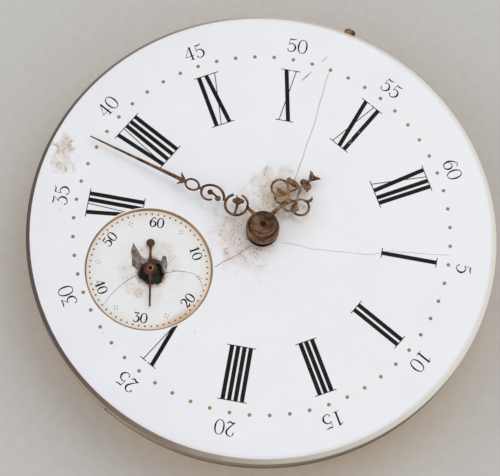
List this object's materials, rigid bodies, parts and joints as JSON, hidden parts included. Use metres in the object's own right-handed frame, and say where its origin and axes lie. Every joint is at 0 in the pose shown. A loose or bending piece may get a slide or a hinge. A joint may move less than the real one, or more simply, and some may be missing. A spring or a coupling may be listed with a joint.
{
  "type": "pocket watch movement",
  "caption": "Key-wound bar movement for a pocket watch, with a domed enamel dial, sunk seconds dial, pierced scroll hands, going barrel, geared train, lever and balance.",
  "frame": {"origin": "on the plane of the bars' outer faces, under the centre arbor", "axes": "+Z out of the dial, +Y towards XII, +X towards III"},
  "size_m": [0.0438, 0.0438, 0.0103],
  "materials": {
    "gilt_brass": "frosted gilding, dulled by age",
    "brass": "turned and grained, lightly tarnished",
    "steel": "grained steel",
    "blued_steel": "heat-blued and polished",
    "ruby": "polished jewel",
    "enamel": "white fired enamel, glossy, hairline cracks",
    "copper": "dull copper",
    "aged_bronze": "brown patina with copper-coloured edges"
  },
  "bodies": {
    "frame": {"main_plate": "gilt_brass", "barrel_bridge": "gilt_brass", "centre_bar": "gilt_brass", "third_bar": "gilt_brass", "fourth_bar": "gilt_brass", "escape_bar": "gilt_brass", "pallet_cock": "gilt_brass", "balance_cock": "gilt_brass", "hairspring_stud": "steel", "cap_jewel": "ruby", "jewels": "ruby", "bar_screws": "blued_steel", "case_screws": "blued_steel", "case_pin": "brass", "banking_pins": "brass", "click_screw": "blued_steel", "click_spring": "blued_steel", "click_spring_screw": "blued_steel", "minute_wheel_stud": "steel", "dial": "enamel", "seconds_dial": "enamel", "dial_feet": "copper", "dial_foot_screws": "steel"},
    "minute_hand_work": {"set_arbor": "steel", "cannon_pinion": "steel", "minute_hand": "aged_bronze", "minute_hand_boss": "aged_bronze"},
    "centre_arbor": {"centre_wheel": "brass", "centre_pinion": "steel"},
    "third_arbor": {"third_wheel": "brass", "third_pinion": "steel"},
    "fourth_arbor": {"fourth_wheel": "brass", "fourth_pinion": "steel", "seconds_hand": "aged_bronze"},
    "escape_arbor": {"escape_wheel": "steel", "escape_pinion": "steel"},
    "going_barrel": {"barrel": "brass", "barrel_cover": "brass", "mainspring": "steel"},
    "minute_work": {"minute_wheel": "brass", "minute_pinion": "steel"},
    "hour_work": {"hour_wheel": "brass", "hour_hand": "aged_bronze", "hour_hand_boss": "aged_bronze"},
    "winding_arbor": {"barrel_arbor": "steel", "ratchet_wheel": "steel"},
    "click_pawl": {"click": "steel"},
    "pallet_lever": {"pallet_fork": "steel", "pallet_stones": "ruby", "pallet_arbor": "steel"},
    "balance": {"balance_wheel": "brass", "balance_screws": "brass", "balance_staff": "steel", "roller": "steel", "impulse_jewel": "ruby", "hairspring_collet": "brass", "hairspring": "blued_steel"},
    "index": {"regulator": "steel"}
  },
  "joints": [
    {"name": "minute_hand_turn", "type": "hinge", "parent": "frame", "child": "minute_hand_work", "pos_m": [0, 0, 0.006], "axis": [0, 0, 1], "continuous": true},
    {"name": "centre_turn", "type": "hinge", "parent": "frame", "child": "centre_arbor", "pos_m": [0, 0, 0.003], "axis": [0, 0, 1], "continuous": true},
    {"name": "third_turn", "type": "hinge", "parent": "frame", "child": "third_arbor", "pos_m": [0.00271, -0.00618, 0.003], "axis": [0, 0, 1], "continuous": true},
    {"name": "seconds_turn", "type": "hinge", "parent": "frame", "child": "fourth_arbor", "pos_m": [0, -0.011, 0.003], "axis": [0, 0, 1], "continuous": true},
    {"name": "escape_turn", "type": "hinge", "parent": "frame", "child": "escape_arbor", "pos_m": [-0.00468, -0.00975, 0.003], "axis": [0, 0, 1], "continuous": true},
    {"name": "barrel_turn", "type": "hinge", "parent": "frame", "child": "going_barrel", "pos_m": [0.0045, 0.00779, 0.0035], "axis": [0, 0, 1], "continuous": true, "deforming": ["mainspring"]},
    {"name": "minute_wheel_turn", "type": "hinge", "parent": "frame", "child": "minute_work", "pos_m": [-0.00312, 0.0018, 0.006], "axis": [0, 0, 1], "continuous": true},
    {"name": "hour_hand_turn", "type": "hinge", "parent": "frame", "child": "hour_work", "pos_m": [0, 0, 0.0065], "axis": [0, 0, 1], "continuous": true},
    {"name": "winding_turn", "type": "hinge", "parent": "frame", "child": "winding_arbor", "pos_m": [0.0045, 0.00779, 0.0015], "axis": [0, 0, 1], "range_deg": [0, 1440]},
    {"name": "click_lift", "type": "hinge", "parent": "frame", "child": "click_pawl", "pos_m": [0.0067, 0.0116, 0.0007], "axis": [0, 0, -1], "range_deg": [0, 10], "stiffness_Nm_per_rad": 0.0002, "deforming": ["click_spring"]},
    {"name": "lever_rock", "type": "hinge", "parent": "frame", "child": "pallet_lever", "pos_m": [-0.00745, -0.00809, 0.0035], "axis": [0, 0, 1], "range_deg": [-5, 5]},
    {"name": "balance_swing", "type": "hinge", "parent": "frame", "child": "balance", "pos_m": [-0.0118, -0.0055, 0.0022], "axis": [0, 0, 1], "range_deg": [-270, 270], "stiffness_Nm_per_rad": 0.0000014, "deforming": ["hairspring"]},
    {"name": "index_turn", "type": "hinge", "parent": "frame", "child": "index", "pos_m": [-0.0118, -0.0055, 0.0003], "axis": [0, 0, 1], "range_deg": [-18, 18]}
  ],
  "couplings": [
    {"joint": "minute_hand_turn", "follows": "seconds_turn", "ratio": 0.016667},
    {"joint": "centre_turn", "follows": "seconds_turn", "ratio": 0.016667},
    {"joint": "third_turn", "follows": "seconds_turn", "ratio": -0.13333},
    {"joint": "escape_turn", "follows": "seconds_turn", "ratio": -10},
    {"joint": "barrel_turn", "follows": "seconds_turn", "ratio": -0.0020833},
    {"joint": "minute_wheel_turn", "follows": "seconds_turn", "ratio": -0.0055556},
    {"joint": "hour_hand_turn", "follows": "seconds_turn", "ratio": 0.0013889}
  ]
}
